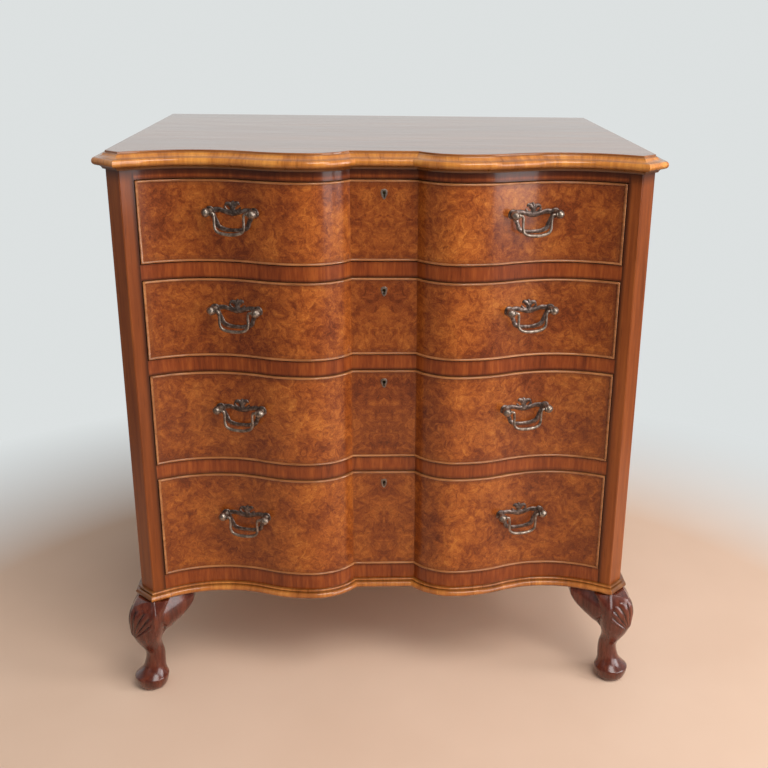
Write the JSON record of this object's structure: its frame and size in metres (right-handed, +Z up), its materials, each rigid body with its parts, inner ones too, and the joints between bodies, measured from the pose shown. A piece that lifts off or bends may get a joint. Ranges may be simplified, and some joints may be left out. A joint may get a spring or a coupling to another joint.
{
  "type": "chest of drawers",
  "caption": "Serpentine-front chest of drawers on cabriole legs, with a moulded top, canted corners, cock-beaded sliding drawers and hanging bail handles.",
  "frame": {"origin": "centre of the whole chest's bounding box, at floor level", "axes": "+Z up, the drawers face -Y and pull out along -Y, +X to the right seen from the front"},
  "size_m": [0.7946, 0.5624, 0.8385],
  "materials": {
    "front_veneer": "figured walnut veneer, french polished",
    "rail_veneer": "cross-grained walnut, french polished",
    "case_veneer": "walnut, french polished",
    "top_veneer": "walnut veneer, high polish",
    "moulding_wood": "cross-grained walnut moulding, polished",
    "bead_wood": "walnut bead, polished",
    "leg_wood": "dark stained mahogany, polished",
    "lining_wood": "plain oak, waxed",
    "back_wood": "plain stained pine",
    "antique_brass": "antique brass, darkened",
    "lock_brass": "dull brass",
    "steel": "plain steel"
  },
  "bodies": {
    "case": {"top_board": "top_veneer", "top_moulding": "moulding_wood", "case_sides": "case_veneer", "back_panel": "back_wood", "corner_posts": "case_veneer", "front_rails": "rail_veneer", "base_moulding": "moulding_wood", "dust_boards": "lining_wood", "drawer_runners": "lining_wood", "front_legs": "leg_wood", "rear_legs": "leg_wood", "knee_brackets": "leg_wood"},
    "drawer_1": {"drawer_1_front": "front_veneer", "drawer_1_cock_beads": "bead_wood", "drawer_1_sides": "lining_wood", "drawer_1_back": "lining_wood", "drawer_1_bottom": "lining_wood", "drawer_1_handle_plates": "antique_brass", "drawer_1_handle_posts": "antique_brass", "drawer_1_escutcheon": "antique_brass", "drawer_1_lock": "lock_brass"},
    "drawer_1_bail_left": {"drawer_1_bail_left": "antique_brass"},
    "drawer_1_bail_right": {"drawer_1_bail_right": "antique_brass"},
    "drawer_1_lock_bolt": {"drawer_1_lock_bolt": "steel"},
    "drawer_2": {"drawer_2_front": "front_veneer", "drawer_2_cock_beads": "bead_wood", "drawer_2_sides": "lining_wood", "drawer_2_back": "lining_wood", "drawer_2_bottom": "lining_wood", "drawer_2_handle_plates": "antique_brass", "drawer_2_handle_posts": "antique_brass", "drawer_2_escutcheon": "antique_brass", "drawer_2_lock": "lock_brass"},
    "drawer_2_bail_left": {"drawer_2_bail_left": "antique_brass"},
    "drawer_2_bail_right": {"drawer_2_bail_right": "antique_brass"},
    "drawer_2_lock_bolt": {"drawer_2_lock_bolt": "steel"},
    "drawer_3": {"drawer_3_front": "front_veneer", "drawer_3_cock_beads": "bead_wood", "drawer_3_sides": "lining_wood", "drawer_3_back": "lining_wood", "drawer_3_bottom": "lining_wood", "drawer_3_handle_plates": "antique_brass", "drawer_3_handle_posts": "antique_brass", "drawer_3_escutcheon": "antique_brass", "drawer_3_lock": "lock_brass"},
    "drawer_3_bail_left": {"drawer_3_bail_left": "antique_brass"},
    "drawer_3_bail_right": {"drawer_3_bail_right": "antique_brass"},
    "drawer_3_lock_bolt": {"drawer_3_lock_bolt": "steel"},
    "drawer_4": {"drawer_4_front": "front_veneer", "drawer_4_cock_beads": "bead_wood", "drawer_4_sides": "lining_wood", "drawer_4_back": "lining_wood", "drawer_4_bottom": "lining_wood", "drawer_4_handle_plates": "antique_brass", "drawer_4_handle_posts": "antique_brass", "drawer_4_escutcheon": "antique_brass", "drawer_4_lock": "lock_brass"},
    "drawer_4_bail_left": {"drawer_4_bail_left": "antique_brass"},
    "drawer_4_bail_right": {"drawer_4_bail_right": "antique_brass"},
    "drawer_4_lock_bolt": {"drawer_4_lock_bolt": "steel"}
  },
  "joints": [
    {"name": "drawer_1_slide", "type": "slide", "parent": "case", "child": "drawer_1", "axis": [0, -1, 0], "range_m": [0, 0.34]},
    {"name": "drawer_1_bail_left_swing", "type": "hinge", "parent": "drawer_1", "child": "drawer_1_bail_left", "pos_m": [-0.21373, -0.24988, 0.75495], "axis": [-0.973, 0.2309, 0], "range_deg": [-20, 85]},
    {"name": "drawer_1_bail_right_swing", "type": "hinge", "parent": "drawer_1", "child": "drawer_1_bail_right", "pos_m": [0.21373, -0.24988, 0.75495], "axis": [-0.973, -0.2309, 0], "range_deg": [-20, 85]},
    {"name": "drawer_1_lock_bolt_throw", "type": "slide", "parent": "drawer_1", "child": "drawer_1_lock_bolt", "axis": [0, 0, 1], "range_m": [0, 0.01]},
    {"name": "drawer_2_slide", "type": "slide", "parent": "case", "child": "drawer_2", "axis": [0, -1, 0], "range_m": [0, 0.34]},
    {"name": "drawer_2_bail_left_swing", "type": "hinge", "parent": "drawer_2", "child": "drawer_2_bail_left", "pos_m": [-0.21373, -0.24988, 0.61495], "axis": [-0.973, 0.2309, 0], "range_deg": [-20, 85]},
    {"name": "drawer_2_bail_right_swing", "type": "hinge", "parent": "drawer_2", "child": "drawer_2_bail_right", "pos_m": [0.21373, -0.24988, 0.61495], "axis": [-0.973, -0.2309, 0], "range_deg": [-20, 85]},
    {"name": "drawer_2_lock_bolt_throw", "type": "slide", "parent": "drawer_2", "child": "drawer_2_lock_bolt", "axis": [0, 0, 1], "range_m": [0, 0.01]},
    {"name": "drawer_3_slide", "type": "slide", "parent": "case", "child": "drawer_3", "axis": [0, -1, 0], "range_m": [0, 0.34]},
    {"name": "drawer_3_bail_left_swing", "type": "hinge", "parent": "drawer_3", "child": "drawer_3_bail_left", "pos_m": [-0.21373, -0.24988, 0.4632], "axis": [-0.973, 0.2309, 0], "range_deg": [-20, 85]},
    {"name": "drawer_3_bail_right_swing", "type": "hinge", "parent": "drawer_3", "child": "drawer_3_bail_right", "pos_m": [0.21373, -0.24988, 0.4632], "axis": [-0.973, -0.2309, 0], "range_deg": [-20, 85]},
    {"name": "drawer_3_lock_bolt_throw", "type": "slide", "parent": "drawer_3", "child": "drawer_3_lock_bolt", "axis": [0, 0, 1], "range_m": [0, 0.01]},
    {"name": "drawer_4_slide", "type": "slide", "parent": "case", "child": "drawer_4", "axis": [0, -1, 0], "range_m": [0, 0.34]},
    {"name": "drawer_4_bail_left_swing", "type": "hinge", "parent": "drawer_4", "child": "drawer_4_bail_left", "pos_m": [-0.21373, -0.24988, 0.2892], "axis": [-0.973, 0.2309, 0], "range_deg": [-20, 85]},
    {"name": "drawer_4_bail_right_swing", "type": "hinge", "parent": "drawer_4", "child": "drawer_4_bail_right", "pos_m": [0.21373, -0.24988, 0.2892], "axis": [-0.973, -0.2309, 0], "range_deg": [-20, 85]},
    {"name": "drawer_4_lock_bolt_throw", "type": "slide", "parent": "drawer_4", "child": "drawer_4_lock_bolt", "axis": [0, 0, 1], "range_m": [0, 0.01]}
  ]
}
